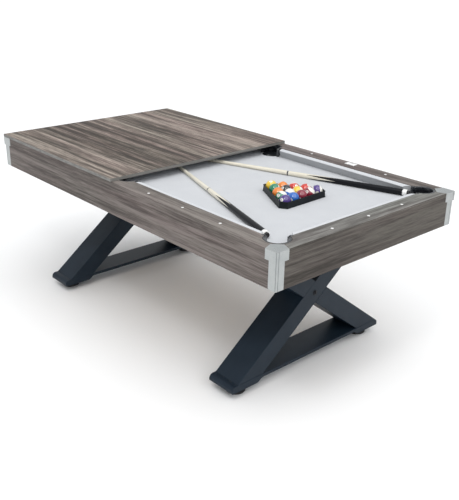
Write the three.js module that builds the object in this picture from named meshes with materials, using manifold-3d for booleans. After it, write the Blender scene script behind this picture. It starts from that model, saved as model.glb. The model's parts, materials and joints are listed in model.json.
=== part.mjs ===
// A 7 ft home pool table with a half-length dining top and its play set.
// Units are millimetres, +Z is up, the origin is on the floor under the middle of the table,
// +X runs towards the open end and -Y towards the front long side.
import * as THREE from 'three';
import { mergeVertices } from 'three/addons/utils/BufferGeometryUtils.js';
import Module from 'manifold-3d';

const wasm = await Module();
wasm.setup();

// ---------- driving dimensions ----------
const GAP = 0.3; // clearance between neighbouring pieces

const TABLE_LENGTH = 2134;
const TABLE_WIDTH = 1128;
const RAIL_TOP = 813.5;
const RAIL_DEPTH = 89; // outer edge of the table to the cushion's back
const RAIL_INSET = 3; // rail face behind the casting block's face
const NOSE_DEPTH = 118.5; // outer edge of the table to the cushion's nose
const BED_SURFACE = 771.5; // top of the playing cloth
const CLOTH_THICKNESS = 1;
const BED_THICKNESS = 18;

const APRON_BOTTOM = 655;
const APRON_THICKNESS = 18;
const APRON_INSET = 4;

const CASTING_ARM = 62; // block's reach along each rail
const CASTING_TIP = { along: 79, across: 43 }; // where the block meets the pocket liner
const COLUMN_INSET = 4.5;
const COLUMN_ARM = 41;
const COLUMN_THICKNESS = 14;

const CORNER_POCKET_INSET = 101.5; // pocket centre from both outer edges
const SIDE_POCKET_INSET = 102;
const LINER_OUTER = 56;
const LINER_INNER = 46;
const CUP_OUTER = 49;
const CUP_BOTTOM = 664;
const CUP_FLOOR = 3;
const EAR_REACH = 62; // pocket centre to the middle of an ear
const EAR_RADIUS = 8;
const CORNER_EAR_ANGLE = 124; // degrees away from the outward direction
const SIDE_EAR_ANGLE = 101;
const CUSHION_END = 70; // pocket centre to the cushion's end, along the rail
const CORNER_FACING = 27; // how much further back the nose ends at a corner
const SIDE_FACING = 7;

const FRAME_X = 695; // middle of each leg frame
const BEAM_DEPTH = 150;
const BEAM_HALF_WIDTH = 74.5; // measured level, along Y
const BEAM_SLOPE = 0.778; // rise over run
const CROSSING_HEIGHT = 370;
const ARM_SLOPE = 0.761; // the lower arm leans out a little more
const ARM_SHIFT = 13; // and its middle passes this far outside the crossing
const BEAM_TOP = 670.7;

const SHEET = 2; // wall of the folded steel beams
const BAR_SHEET = 3;

const BAR_DEPTH = 152;
const BAR_HALF_LENGTH = 495;
const BAR_TOP = 70;
const BAR_UNDERSIDE = 54;
const SHOE_UNDERSIDE = 37;
const SHOE_START = 342;
const SHOE_CHAMFER = 24;
const SHOE_ROUND = 24;

const LEVELLER_X = 705;
const LEVELLER_Y = 415.5;
const LEVELLER_RADIUS = 45;
const LEVELLER_DISC = 14;
const STEM_RADIUS = 8;
const STEM_TOP = 57;
const STEM_HOLE_TOP = 60;
const LOCK_NUT_RADIUS = 14;
const BOSS_RADIUS = 16; // threaded boss inside each shoe

const CROSS_BEAM_WIDTH = 150;
const CROSS_BEAM_BOARD = 18;

const TOP_THICKNESS = 15;
const PLATE = { x: 494, width: 60, depth: 34, height: 2.2, inset: 34 };

const BALL_RADIUS = 26.2;
const BALL_PITCH = 53;
const RACK_APEX = { x: 462, y: 4 };
const RACK_TURN = 1.9; // degrees, about the apex ball
const RACK_ROWS = 5;
const RACK_WALL = 6.1;
const RACK_HEIGHT = 30;
const RACK_CLEARANCE = 2.6;

const CUE_LENGTH = 1219;
const CUE_TIP_RADIUS = 6.5;
const CUE_BUTT_RADIUS = 15;
const CUES = [
  { name: 'cue_front', buttX: 876, buttY: -424, angle: -18.6 },
  { name: 'cue_back', buttX: 912, buttY: 443, angle: 18.6 },
];

// ---------- derived values ----------
const HALF_LENGTH = TABLE_LENGTH / 2;
const HALF_WIDTH = TABLE_WIDTH / 2;
const RAIL_UNDERSIDE = BED_SURFACE + GAP;
const BED_TOP = BED_SURFACE - CLOTH_THICKNESS - GAP;
const BED_UNDERSIDE = BED_TOP - BED_THICKNESS;
const BED_HALF_LENGTH = HALF_LENGTH - APRON_INSET - APRON_THICKNESS - 0.5;
const BED_HALF_WIDTH = HALF_WIDTH - APRON_INSET - APRON_THICKNESS - 0.5;
const radians = THREE.MathUtils.degToRad;

// ---------- materials ----------
const material = (color, roughness, metalness) =>
  new THREE.MeshStandardMaterial({ color, roughness, metalness });
const woodLaminate = material(0x8f857c, 0.5, 0);
const boardCore = material(0xb39b7a, 0.8, 0);
const cloth = material(0xd6dae4, 0.95, 0);
const castMetal = material(0xb9bfbd, 0.4, 0.7);
const blackPlastic = material(0x15161a, 0.5, 0);
const coatedSteel = material(0x2b323a, 0.45, 0.3);
const plateMetal = material(0xe8e8e6, 0.35, 0.6);

// ---------- solids ----------
const toSolid = (geometry) => {
  const bare = geometry.clone();
  bare.deleteAttribute('normal');
  bare.deleteAttribute('uv');
  const merged = mergeVertices(bare, 1e-4);
  const vertProperties = new Float32Array(merged.attributes.position.array);
  const triVerts = new Uint32Array(merged.index.array);
  return new wasm.Manifold(new wasm.Mesh({ numProp: 3, vertProperties, triVerts }));
};

const fromSolid = (solid) => {
  const mesh = solid.getMesh();
  const geometry = new THREE.BufferGeometry();
  geometry.setAttribute('position', new THREE.BufferAttribute(mesh.vertProperties, 3));
  geometry.setIndex(new THREE.BufferAttribute(mesh.triVerts, 1));
  const flat = geometry.toNonIndexed();
  flat.computeVertexNormals();
  return flat;
};

const outline = (points) => new THREE.Shape(points.map(([x, y]) => new THREE.Vector2(x, y)));

// A plan outline in XY raised from one height to another.
const raised = (shape, bottom, top, curveSegments = 8) => {
  const options = { depth: top - bottom, bevelEnabled: false, curveSegments };
  return new THREE.ExtrudeGeometry(shape, options).translate(0, 0, bottom);
};

// A profile drawn in (Y, Z), swept along X between two stations.
const sweptAlongX = (shape, start, end, curveSegments = 6) => {
  const options = { depth: end - start, bevelEnabled: false, curveSegments };
  const geometry = new THREE.ExtrudeGeometry(shape, options);
  const axes = new THREE.Matrix4().makeBasis(
    new THREE.Vector3(0, 1, 0),
    new THREE.Vector3(0, 0, 1),
    new THREE.Vector3(1, 0, 0),
  );
  return geometry.applyMatrix4(axes).translate(start, 0, 0);
};

const box = (x0, x1, y0, y1, z0, z1) => {
  const geometry = new THREE.BoxGeometry(x1 - x0, y1 - y0, z1 - z0);
  return geometry.translate((x0 + x1) / 2, (y0 + y1) / 2, (z0 + z1) / 2);
};

const upright = (radius, bottom, top, x, y, segments = 24) => {
  const geometry = new THREE.CylinderGeometry(radius, radius, top - bottom, segments);
  return geometry.rotateX(Math.PI / 2).translate(x, y, (bottom + top) / 2);
};

// A lathe profile of (radius, height) points turned about the Z axis.
const turned = (points, segments) => {
  const profile = points.map(([radius, height]) => new THREE.Vector2(radius, height));
  return new THREE.LatheGeometry(profile, segments).rotateX(Math.PI / 2);
};

const table = new THREE.Group();
const add = (name, geometry, finish) => {
  const mesh = new THREE.Mesh(geometry, finish);
  mesh.name = name;
  table.add(mesh);
  return mesh;
};

// ---------- pockets: where each one is and which way it faces out ----------
const pocket = (name, x, y, outward, earAngle) => {
  const ears = [-1, 1].map((side) => {
    const direction = radians(outward + side * earAngle);
    return { x: x + EAR_REACH * Math.cos(direction), y: y + EAR_REACH * Math.sin(direction) };
  });
  return { name, x, y, outward, earAngle, ears };
};
const cornerX = HALF_LENGTH - CORNER_POCKET_INSET;
const cornerY = HALF_WIDTH - CORNER_POCKET_INSET;
const sideY = HALF_WIDTH - SIDE_POCKET_INSET;
const pockets = [
  pocket('pocket_front_right', cornerX, -cornerY, -45, CORNER_EAR_ANGLE),
  pocket('pocket_back_right', cornerX, cornerY, 45, CORNER_EAR_ANGLE),
  pocket('pocket_back_left', -cornerX, cornerY, 135, CORNER_EAR_ANGLE),
  pocket('pocket_front_left', -cornerX, -cornerY, 225, CORNER_EAR_ANGLE),
  pocket('pocket_front_middle', 0, -sideY, -90, SIDE_EAR_ANGLE),
  pocket('pocket_back_middle', 0, sideY, 90, SIDE_EAR_ANGLE),
];

// Moves a piece drawn at the front right corner to another corner by mirroring.
const mirrored = (solid, flipX, flipY) => solid.scale([flipX ? -1 : 1, flipY ? -1 : 1, 1]);

// ---------- bed ----------
const bedSheet = (halfLength, halfWidth, bottom, top, holeRadius) => {
  let solid = toSolid(box(-halfLength, halfLength, -halfWidth, halfWidth, bottom, top));
  for (const { x, y } of pockets) {
    solid = solid.subtract(toSolid(upright(holeRadius, bottom - 5, top + 5, x, y)));
  }
  return fromSolid(solid);
};
const holeRadius = CUP_OUTER + 0.6;
add('bed', bedSheet(BED_HALF_LENGTH, BED_HALF_WIDTH, BED_UNDERSIDE, BED_TOP, holeRadius), boardCore);
const clothBottom = BED_SURFACE - CLOTH_THICKNESS;
add('bed_cloth', bedSheet(BED_HALF_LENGTH, BED_HALF_WIDTH, clothBottom, BED_SURFACE, holeRadius), cloth);

// ---------- corner castings ----------
const castingPlan = (clearance) => {
  const x = HALF_LENGTH;
  const y = -HALF_WIDTH;
  const { along, across } = CASTING_TIP;
  return outline([
    [x + clearance, y - clearance],
    [x + clearance, y + CASTING_ARM + clearance],
    [x - across, y + along + clearance],
    [x - along - clearance, y + across],
    [x - CASTING_ARM - clearance, y - clearance],
  ]);
};
const cornerLiner = (clearance) =>
  toSolid(upright(LINER_OUTER + clearance, RAIL_UNDERSIDE - 9, RAIL_TOP + 9, cornerX, -cornerY, 32));

const cornerCasting = () => {
  const block = toSolid(raised(castingPlan(0), RAIL_UNDERSIDE, RAIL_TOP)).subtract(cornerLiner(GAP));
  const outerX = HALF_LENGTH - COLUMN_INSET;
  const outerY = -HALF_WIDTH + COLUMN_INSET;
  const angle = outline([
    [outerX, outerY],
    [outerX, outerY + COLUMN_ARM],
    [outerX - COLUMN_THICKNESS, outerY + COLUMN_ARM],
    [outerX - COLUMN_THICKNESS, outerY + COLUMN_THICKNESS],
    [outerX - COLUMN_ARM, outerY + COLUMN_THICKNESS],
    [outerX - COLUMN_ARM, outerY],
  ]);
  return block.add(toSolid(raised(angle, APRON_BOTTOM, RAIL_UNDERSIDE + 2)));
};
const castingSolid = cornerCasting();
for (const [end, flipX] of [['right', false], ['left', true]]) {
  for (const [side, flipY] of [['front', false], ['back', true]]) {
    add(`corner_casting_${side}_${end}`, fromSolid(mirrored(castingSolid, flipX, flipY)), castMetal);
  }
}

// ---------- rails: mitred blanks cut round the castings and the pocket liners ----------
const railCutters = () => {
  const cutters = [];
  for (const flipX of [false, true]) {
    for (const flipY of [false, true]) {
      const casting = toSolid(raised(castingPlan(GAP), RAIL_UNDERSIDE - 9, RAIL_TOP + 9));
      cutters.push(mirrored(casting, flipX, flipY));
    }
  }
  for (const { x, y, ears } of pockets) {
    cutters.push(toSolid(upright(LINER_OUTER + GAP, RAIL_UNDERSIDE - 9, RAIL_TOP + 9, x, y, 32)));
    for (const ear of ears) {
      const radius = EAR_RADIUS + GAP;
      cutters.push(toSolid(upright(radius, RAIL_UNDERSIDE - 9, RAIL_TOP + 9, ear.x, ear.y, 16)));
    }
  }
  return cutters;
};
const cutters = railCutters();

const rail = (plan) => {
  let solid = toSolid(raised(outline(plan), RAIL_UNDERSIDE, RAIL_TOP));
  for (const cutter of cutters) {
    solid = solid.subtract(cutter);
  }
  return fromSolid(solid);
};
const railX = HALF_LENGTH - RAIL_INSET;
const railY = HALF_WIDTH - RAIL_INSET;
const woodX = HALF_LENGTH - RAIL_DEPTH;
const woodY = HALF_WIDTH - RAIL_DEPTH;
const mitre = GAP;
for (const [side, sign] of [['front', -1], ['back', 1]]) {
  const plan = [
    [-railX + mitre, sign * railY],
    [railX - mitre, sign * railY],
    [woodX - mitre, sign * woodY],
    [-woodX + mitre, sign * woodY],
  ];
  add(`rail_${side}`, rail(plan), woodLaminate);
}
for (const [end, sign] of [['right', 1], ['left', -1]]) {
  const plan = [
    [sign * railX, -railY + mitre],
    [sign * railX, railY - mitre],
    [sign * woodX, woodY - mitre],
    [sign * woodX, -woodY + mitre],
  ];
  add(`rail_${end}`, rail(plan), woodLaminate);
}

// ---------- cushions ----------
// The section is drawn in (distance from the wood, height) and sheared back at both ends.
const cushion = (startEnd, finishEnd, startFacing, finishFacing) => {
  const depth = NOSE_DEPTH - RAIL_DEPTH;
  const section = outline([
    [GAP, BED_SURFACE + 0.6],
    [depth - 10, BED_SURFACE + 0.6],
    [depth - 1.5, RAIL_TOP - 11],
    [depth, RAIL_TOP - 8],
    [depth - 2, RAIL_TOP - 5],
    [depth - 8, RAIL_TOP - 2.5],
    [GAP, RAIL_TOP - 1],
  ]);
  const geometry = sweptAlongX(section, 0, 1);
  const position = geometry.attributes.position;
  for (let i = 0; i < position.count; i += 1) {
    const reach = position.getY(i) / depth;
    const atStart = startEnd + startFacing * reach;
    const atFinish = finishEnd - finishFacing * reach;
    position.setX(i, THREE.MathUtils.lerp(atStart, atFinish, position.getX(i)));
  }
  return geometry;
};
const cornerEndX = cornerX - CUSHION_END;
const cornerEndY = cornerY - CUSHION_END;
const longCushion = cushion(CUSHION_END, cornerEndX, SIDE_FACING, CORNER_FACING);
const endCushion = cushion(-cornerEndY, cornerEndY, CORNER_FACING, CORNER_FACING);
const placed = (geometry, turn, x, y) => geometry.clone().rotateZ(turn).translate(x, y, 0);
const flippedEnds = (geometry) => fromSolid(mirrored(toSolid(geometry), true, false));

add('cushion_front_right', placed(longCushion, 0, 0, -woodY), cloth);
add('cushion_front_left', placed(flippedEnds(longCushion), 0, 0, -woodY), cloth);
add('cushion_back_right', placed(flippedEnds(longCushion), Math.PI, 0, woodY), cloth);
add('cushion_back_left', placed(longCushion, Math.PI, 0, woodY), cloth);
add('cushion_right', placed(endCushion, Math.PI / 2, woodX, 0), cloth);
add('cushion_left', placed(endCushion, -Math.PI / 2, -woodX, 0), cloth);

// ---------- pocket liners: a horseshoe above the bed with a drop cup below it ----------
const pocketLiner = ({ x, y, outward, earAngle, ears }) => {
  const lip = 4;
  const flange = BED_SURFACE + GAP;
  let solid = toSolid(turned([
    [0, CUP_BOTTOM],
    [CUP_OUTER - 12, CUP_BOTTOM],
    [CUP_OUTER, CUP_BOTTOM + 12],
    [CUP_OUTER, flange],
    [LINER_OUTER, flange],
    [LINER_OUTER, RAIL_TOP - 1],
    [LINER_OUTER - 2, RAIL_TOP],
    [LINER_INNER + lip, RAIL_TOP],
    [LINER_INNER, RAIL_TOP - lip],
    [LINER_INNER, CUP_BOTTOM + CUP_FLOOR + 10],
    [LINER_INNER - 10, CUP_BOTTOM + CUP_FLOOR],
    [0, CUP_BOTTOM + CUP_FLOOR],
  ], 28)).translate([x, y, 0]);
  const mouthReach = 90;
  const half = radians(180 - earAngle);
  const inward = radians(outward + 180);
  const mouth = outline([
    [x, y],
    [x + mouthReach * Math.cos(inward - half), y + mouthReach * Math.sin(inward - half)],
    [x + mouthReach * 1.6 * Math.cos(inward), y + mouthReach * 1.6 * Math.sin(inward)],
    [x + mouthReach * Math.cos(inward + half), y + mouthReach * Math.sin(inward + half)],
  ]);
  solid = solid.subtract(toSolid(raised(mouth, flange - 1.2, RAIL_TOP + 5)));
  const bore = toSolid(upright(LINER_INNER, flange - 1.2, RAIL_TOP + 5, x, y, 28));
  for (const ear of ears) {
    const post = toSolid(upright(EAR_RADIUS, flange, RAIL_TOP - 0.5, ear.x, ear.y, 16));
    solid = solid.add(post.subtract(bore));
  }
  return fromSolid(solid);
};
for (const place of pockets) {
  add(place.name, pocketLiner(place), blackPlastic);
}

// ---------- aprons ----------
const apronTop = BED_SURFACE;
const apronX = HALF_LENGTH - APRON_INSET;
const apronY = HALF_WIDTH - APRON_INSET;
const apronEndX = HALF_LENGTH - COLUMN_INSET - COLUMN_ARM - GAP;
const apronEndY = HALF_WIDTH - COLUMN_INSET - COLUMN_ARM - GAP;
for (const [side, sign] of [['front', -1], ['back', 1]]) {
  const near = Math.min(sign * apronY, sign * (apronY - APRON_THICKNESS));
  const far = near + APRON_THICKNESS;
  add(`apron_${side}`, box(-apronEndX, apronEndX, near, far, APRON_BOTTOM, apronTop), woodLaminate);
}
for (const [end, sign] of [['right', 1], ['left', -1]]) {
  const near = Math.min(sign * apronX, sign * (apronX - APRON_THICKNESS));
  const far = near + APRON_THICKNESS;
  add(`apron_${end}`, box(near, far, -apronEndY, apronEndY, APRON_BOTTOM, apronTop), woodLaminate);
}

// ---------- cross beams under the bed that the legs bolt to ----------
const crossBeam = (x) => {
  const half = CROSS_BEAM_WIDTH / 2;
  const bottom = BEAM_TOP + GAP;
  const top = BED_UNDERSIDE - GAP;
  const channel = outline([
    [x - half, bottom],
    [x + half, bottom],
    [x + half, top],
    [x + half - CROSS_BEAM_BOARD, top],
    [x + half - CROSS_BEAM_BOARD, bottom + CROSS_BEAM_BOARD],
    [x - half + CROSS_BEAM_BOARD, bottom + CROSS_BEAM_BOARD],
    [x - half + CROSS_BEAM_BOARD, top],
    [x - half, top],
  ]);
  const options = { depth: 2 * BED_HALF_WIDTH, bevelEnabled: false };
  return new THREE.ExtrudeGeometry(channel, options).rotateX(Math.PI / 2).translate(0, BED_HALF_WIDTH, 0);
};

// ---------- leg frames ----------
const level = (height) => (height - CROSSING_HEIGHT) / BEAM_SLOPE;
const beamFoot = BAR_TOP + GAP;
const footRun = level(beamFoot);
const topRun = level(BEAM_TOP);
const halfRise = BEAM_HALF_WIDTH * BEAM_SLOPE;
const seam = GAP / Math.sin(Math.atan(BEAM_SLOPE));

const mainBeam = [
  [footRun - BEAM_HALF_WIDTH, beamFoot],
  [footRun + BEAM_HALF_WIDTH, beamFoot],
  [topRun + BEAM_HALF_WIDTH, BEAM_TOP],
  [topRun - BEAM_HALF_WIDTH, BEAM_TOP],
];
const upperArm = [
  [-BEAM_HALF_WIDTH - seam, CROSSING_HEIGHT],
  [-seam, CROSSING_HEIGHT + halfRise],
  [-topRun + BEAM_HALF_WIDTH, BEAM_TOP],
  [-topRun - BEAM_HALF_WIDTH, BEAM_TOP],
];
const armCentre = (height) => ARM_SHIFT + (CROSSING_HEIGHT - height) / ARM_SLOPE;
// Where the arm's edge, this far from its middle, ends against the main beam.
const armMeets = (edge) => {
  const drop = (BEAM_HALF_WIDTH + seam - ARM_SHIFT - edge) / (1 / ARM_SLOPE + 1 / BEAM_SLOPE);
  const height = CROSSING_HEIGHT - drop;
  return [armCentre(height) + edge, height];
};
const lowerArm = [
  armMeets(BEAM_HALF_WIDTH),
  armMeets(-BEAM_HALF_WIDTH),
  [armCentre(beamFoot) - BEAM_HALF_WIDTH, beamFoot],
  [armCentre(beamFoot) + BEAM_HALF_WIDTH, beamFoot],
];

// A folded box beam, open at both ends: its hollow is a level slice of the leaning outline.
const beamStart = FRAME_X - BEAM_DEPTH / 2;
const beamEnd = FRAME_X + BEAM_DEPTH / 2;
const hollowHalf = BEAM_HALF_WIDTH - SHEET / Math.sin(Math.atan(BEAM_SLOPE));
const boxBeam = (points, centre) => {
  const low = beamFoot - 20;
  const high = BEAM_TOP + 20;
  const hollow = outline([
    [centre(low) - hollowHalf, low],
    [centre(low) + hollowHalf, low],
    [centre(high) + hollowHalf, high],
    [centre(high) - hollowHalf, high],
  ]);
  const skin = toSolid(sweptAlongX(outline(points), beamStart, beamEnd));
  return fromSolid(skin.subtract(toSolid(sweptAlongX(hollow, beamStart + SHEET, beamEnd - SHEET))));
};

const floorBarOutline = () => {
  const shape = new THREE.Shape();
  const chamferStart = SHOE_START - SHOE_CHAMFER;
  const tip = BAR_HALF_LENGTH;
  shape.moveTo(-chamferStart, BAR_UNDERSIDE);
  shape.lineTo(chamferStart, BAR_UNDERSIDE);
  shape.lineTo(SHOE_START, SHOE_UNDERSIDE);
  shape.lineTo(tip - 8, SHOE_UNDERSIDE);
  shape.quadraticCurveTo(tip, SHOE_UNDERSIDE, tip, SHOE_UNDERSIDE + 8);
  shape.quadraticCurveTo(tip, BAR_TOP, tip - SHOE_ROUND, BAR_TOP);
  shape.lineTo(-tip + SHOE_ROUND, BAR_TOP);
  shape.quadraticCurveTo(-tip, BAR_TOP, -tip, SHOE_UNDERSIDE + 8);
  shape.quadraticCurveTo(-tip, SHOE_UNDERSIDE, -tip + 8, SHOE_UNDERSIDE);
  shape.lineTo(-SHOE_START, SHOE_UNDERSIDE);
  return shape;
};
// A folded channel, open underneath, whose flanges get deeper at the shoes.
const floorBar = () => {
  const half = BAR_DEPTH / 2;
  let solid = toSolid(sweptAlongX(floorBarOutline(), FRAME_X - half, FRAME_X + half));
  const hollow = outline([
    [-BAR_HALF_LENGTH + 14, SHOE_UNDERSIDE - 5],
    [BAR_HALF_LENGTH - 14, SHOE_UNDERSIDE - 5],
    [BAR_HALF_LENGTH - 14, BAR_TOP - 14],
    [BAR_HALF_LENGTH - SHOE_ROUND, BAR_TOP - BAR_SHEET],
    [-BAR_HALF_LENGTH + SHOE_ROUND, BAR_TOP - BAR_SHEET],
    [-BAR_HALF_LENGTH + 14, BAR_TOP - 14],
  ]);
  const innerHalf = half - BAR_SHEET;
  solid = solid.subtract(toSolid(sweptAlongX(hollow, FRAME_X - innerHalf, FRAME_X + innerHalf)));
  for (const y of [-LEVELLER_Y, LEVELLER_Y]) {
    const boss = upright(BOSS_RADIUS, SHOE_UNDERSIDE, BAR_TOP - 1, LEVELLER_X, y, 16);
    const hole = upright(STEM_RADIUS + 0.8, SHOE_UNDERSIDE - 5, STEM_HOLE_TOP, LEVELLER_X, y, 16);
    solid = solid.add(toSolid(boss)).subtract(toSolid(hole));
  }
  return solid;
};

const leveller = () => {
  const neck = SHOE_UNDERSIDE - GAP;
  return turned([
    [0, 0],
    [LEVELLER_RADIUS - 3, 0],
    [LEVELLER_RADIUS, 4],
    [LEVELLER_RADIUS - 2, LEVELLER_DISC - 3],
    [LEVELLER_RADIUS - 9, LEVELLER_DISC],
    [LOCK_NUT_RADIUS, LEVELLER_DISC + 5],
    [LOCK_NUT_RADIUS, neck],
    [STEM_RADIUS, neck],
    [STEM_RADIUS, STEM_TOP],
    [0, STEM_TOP],
  ], 20);
};

const barSolid = floorBar();
for (const [end, turn, shift] of [['right', 0, 0], ['left', Math.PI, -2 * FRAME_X]]) {
  add(`leg_beam_${end}`, boxBeam(mainBeam, level).translate(shift, 0, 0), coatedSteel);
  const mirrored = (height) => -level(height);
  add(`leg_upper_arm_${end}`, boxBeam(upperArm, mirrored).translate(shift, 0, 0), coatedSteel);
  add(`leg_lower_arm_${end}`, boxBeam(lowerArm, armCentre).translate(shift, 0, 0), coatedSteel);
  add(`floor_bar_${end}`, fromSolid(barSolid).rotateZ(turn), coatedSteel);
  add(`cross_beam_${end}`, crossBeam(FRAME_X).rotateZ(turn), boardCore);
}
for (const [end, signX] of [['right', 1], ['left', -1]]) {
  for (const [side, signY] of [['front', -1], ['back', 1]]) {
    const foot = add(`leveller_${side}_${end}`, leveller(), blackPlastic);
    foot.position.set(signX * LEVELLER_X, signY * LEVELLER_Y, 0);
  }
}

// ---------- dining top over the left half, and the blank plate on the back rail ----------
const topBottom = RAIL_TOP + GAP;
const topHeight = topBottom + TOP_THICKNESS;
add('dining_top', box(-HALF_LENGTH, 0, -HALF_WIDTH, HALF_WIDTH, topBottom, topHeight), woodLaminate);
const plateY = HALF_WIDTH - PLATE.inset;
add('rail_plate', box(
  PLATE.x - PLATE.width / 2,
  PLATE.x + PLATE.width / 2,
  plateY - PLATE.depth / 2,
  plateY + PLATE.depth / 2,
  RAIL_TOP + GAP,
  RAIL_TOP + GAP + PLATE.height,
), plateMetal);

// ---------- balls, in rack order from the apex row to the back row ----------
const BALL_ROWS = [[1], [6, 13], [5, 8, 11], [14, 10, 9, 3], [4, 2, 7, 15, 12]];
const BALL_COLOURS = [0xf2c230, 0x1f5fb4, 0xc8342c, 0x4b2f7a, 0xe0762a, 0x1c7a4a, 0x7c1f2b, 0x111111];
const rowSpacing = BALL_PITCH * Math.cos(radians(30));
const ballPlace = (row, place) => {
  const offset = new THREE.Vector2(row * rowSpacing, (place - row / 2) * BALL_PITCH);
  offset.rotateAround(new THREE.Vector2(0, 0), radians(RACK_TURN));
  return [RACK_APEX.x + offset.x, RACK_APEX.y + offset.y];
};
BALL_ROWS.forEach((numbers, row) => {
  numbers.forEach((number, place) => {
    const geometry = new THREE.SphereGeometry(BALL_RADIUS, 12, 8).rotateX(Math.PI / 2);
    const finish = material(BALL_COLOURS[(number - 1) % 8], 0.15, 0);
    const ball = add(`ball_${String(number).padStart(2, '0')}`, geometry, finish);
    ball.position.set(...ballPlace(row, place), BED_SURFACE + GAP + BALL_RADIUS);
  });
});

// ---------- rack: a rounded triangle offset from the three corner balls ----------
const rackOutline = (path, radius) => {
  const last = RACK_ROWS - 1;
  const corners = [
    [ballPlace(0, 0), 120],
    [ballPlace(last, 0), 240],
    [ballPlace(last, last), 0],
  ];
  for (const [[x, y], start] of corners) {
    const from = RACK_TURN + start;
    path.absarc(x, y, radius, radians(from), radians(from + 120), false);
  }
  return path;
};
const rackInner = BALL_RADIUS + RACK_CLEARANCE;
const rackShape = rackOutline(new THREE.Shape(), rackInner + RACK_WALL);
rackShape.holes.push(rackOutline(new THREE.Path(), rackInner));
const rackBottom = BED_SURFACE + GAP;
add('triangle_rack', raised(rackShape, rackBottom, rackBottom + RACK_HEIGHT, 8), blackPlastic);

// ---------- cues: laid on the cloth, tips together under the dining top ----------
const cueProfile = [
  [0, 0],
  [CUE_TIP_RADIUS, 0],
  [CUE_TIP_RADIUS + 0.4, 26],
  [9.5, 400],
  [11, 609],
  [11.9, 735],
  [CUE_BUTT_RADIUS - 0.5, 1110],
  [CUE_BUTT_RADIUS, 1180],
  [CUE_BUTT_RADIUS, CUE_LENGTH - 4],
  [CUE_BUTT_RADIUS - 4, CUE_LENGTH],
  [0, CUE_LENGTH],
];
const cuePitch = Math.asin((CUE_BUTT_RADIUS - CUE_TIP_RADIUS) / CUE_LENGTH);
for (const { name, buttX, buttY, angle } of CUES) {
  const geometry = turned(cueProfile, 12);
  const cue = add(name, geometry, material(0xc9a874, 0.3, 0));
  const heading = radians(angle);
  const run = CUE_LENGTH * Math.cos(cuePitch);
  cue.rotation.set(0, Math.PI / 2 - cuePitch, heading, 'ZYX');
  cue.position.set(
    buttX - run * Math.cos(heading),
    buttY - run * Math.sin(heading),
    BED_SURFACE + 2 * GAP + CUE_TIP_RADIUS,
  );
}

export default table;
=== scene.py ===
"""Looks of a 7 ft home pool table with a half-length dining top and its play set.

Everything is in metres in the CAD model's own frame: the origin is on the floor under the middle
of the table, +X runs towards the open end, -Y towards the front long side and +Z is up.
"""

import json
import math

import bmesh
import bpy
from mathutils import Matrix, Vector


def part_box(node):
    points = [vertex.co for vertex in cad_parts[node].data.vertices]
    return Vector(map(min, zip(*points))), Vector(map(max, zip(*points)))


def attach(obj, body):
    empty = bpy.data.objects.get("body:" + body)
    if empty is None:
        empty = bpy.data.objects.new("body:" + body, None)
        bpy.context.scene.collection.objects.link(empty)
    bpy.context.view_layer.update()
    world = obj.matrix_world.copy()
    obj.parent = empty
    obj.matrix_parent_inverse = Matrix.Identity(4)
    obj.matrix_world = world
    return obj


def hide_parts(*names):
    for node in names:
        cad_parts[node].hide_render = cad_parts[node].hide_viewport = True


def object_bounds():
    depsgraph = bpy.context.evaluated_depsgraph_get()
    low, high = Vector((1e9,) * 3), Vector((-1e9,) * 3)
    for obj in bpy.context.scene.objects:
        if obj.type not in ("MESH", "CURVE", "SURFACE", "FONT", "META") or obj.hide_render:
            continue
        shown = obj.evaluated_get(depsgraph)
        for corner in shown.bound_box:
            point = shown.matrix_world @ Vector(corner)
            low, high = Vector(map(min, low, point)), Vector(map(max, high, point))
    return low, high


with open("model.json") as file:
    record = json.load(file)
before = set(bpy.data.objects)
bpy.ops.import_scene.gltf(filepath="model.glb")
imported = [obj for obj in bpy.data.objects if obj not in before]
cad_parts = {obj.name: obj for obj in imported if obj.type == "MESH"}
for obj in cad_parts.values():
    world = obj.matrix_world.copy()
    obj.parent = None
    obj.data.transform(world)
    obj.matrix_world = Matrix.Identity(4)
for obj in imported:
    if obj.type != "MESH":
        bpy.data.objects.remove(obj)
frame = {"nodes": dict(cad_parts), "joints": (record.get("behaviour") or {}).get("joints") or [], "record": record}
CAD_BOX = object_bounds()
NODES = frame["nodes"]
RECORD = frame["record"]
BODY_OF = {node: body for body, nodes in RECORD["behaviour"]["bodies"].items() for node in nodes}
JOINTS = {joint["name"]: joint for joint in frame["joints"]}

MM = 0.001
Z_AXIS = Vector((0, 0, 1))
HALF_LENGTH = CAD_BOX[1].x
HALF_WIDTH = CAD_BOX[1].y
RAIL_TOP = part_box("rail_front")[1].z
CLOTH_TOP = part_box("bed_cloth")[1].z
SIDES = (("front", -1), ("back", 1))
ENDS = (("right", 1), ("left", -1))


# ---------- camera, light and floor ----------
CAMERA_PLACE = (2.7211, -2.2819, 1.8217)
CAMERA_ANGLES = (-47.982, -22.773, 1.046)  # yaw from +Y towards +X, pitch and roll, in degrees
CAMERA_LENS = 52.652
FILM_WIDTH = 36
SKY_COLOUR = (0.96, 0.98, 1)
SKY_STRENGTH = 0.62
SKY_SLOPE = -0.12  # how much the strength changes from straight up to level towards +X
FLOOR_COLOUR = (0.93, 0.93, 0.93)
FLOOR_REACH = 60


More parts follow.
